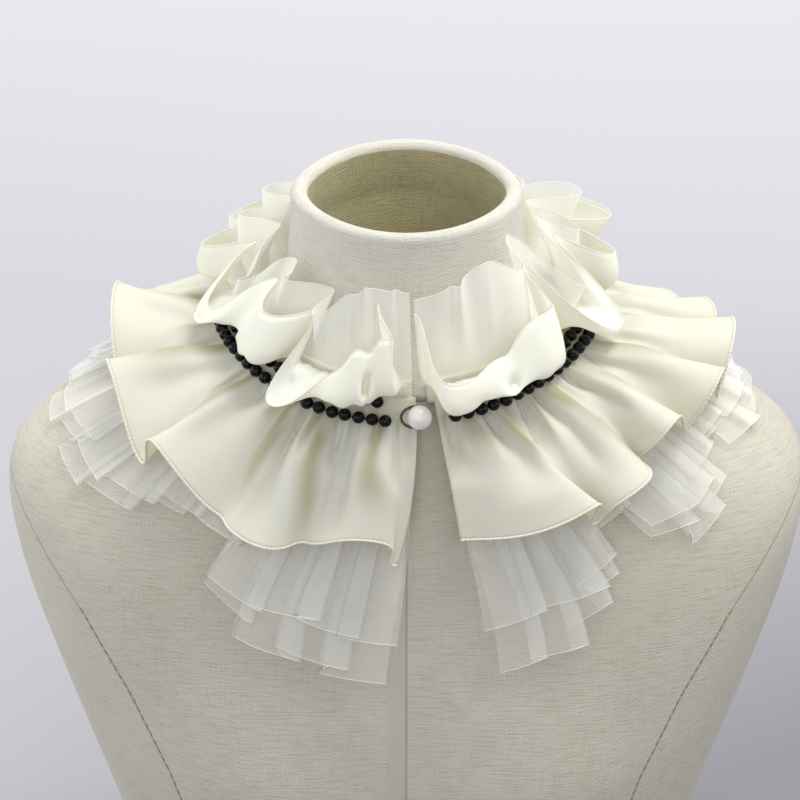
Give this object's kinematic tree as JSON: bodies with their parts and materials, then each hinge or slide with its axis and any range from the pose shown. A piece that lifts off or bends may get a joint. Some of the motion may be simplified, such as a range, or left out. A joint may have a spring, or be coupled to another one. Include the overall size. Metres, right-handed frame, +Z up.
{
  "type": "detachable ruffled chiffon and net collar on a dress form",
  "caption": "Ivory detachable neck collar of gathered chiffon and net ruffles, with black bead strands and a pearl button, on a limbless linen dress form.",
  "frame": {"origin": "centre of the dress form's flat base", "axes": "+Z up the form to its open neck, -Y towards the collar's front opening, +X to the right as seen from the front"},
  "size_m": [0.396, 0.2539, 0.4691],
  "materials": {
    "linen": "matt slubbed natural linen stretched over the form",
    "chiffon": "soft ivory polyester chiffon, slightly see-through",
    "net": "fine ivory tulle",
    "black_bead": "glossy black beads",
    "pearl": "soft white pearl",
    "thread": "brown twisted thread"
  },
  "bodies": {
    "root": {"form_torso": "linen", "form_neck": "linen", "neckband": "chiffon", "net_flounce_long": "net", "net_flounce_short": "net", "chiffon_flounce": "chiffon", "net_frill": "net", "chiffon_frill": "chiffon", "bead_strand_lower": "black_bead", "bead_strand_upper": "black_bead", "pearl_button": "pearl", "button_loop": "thread"}
  },
  "joints": []
}
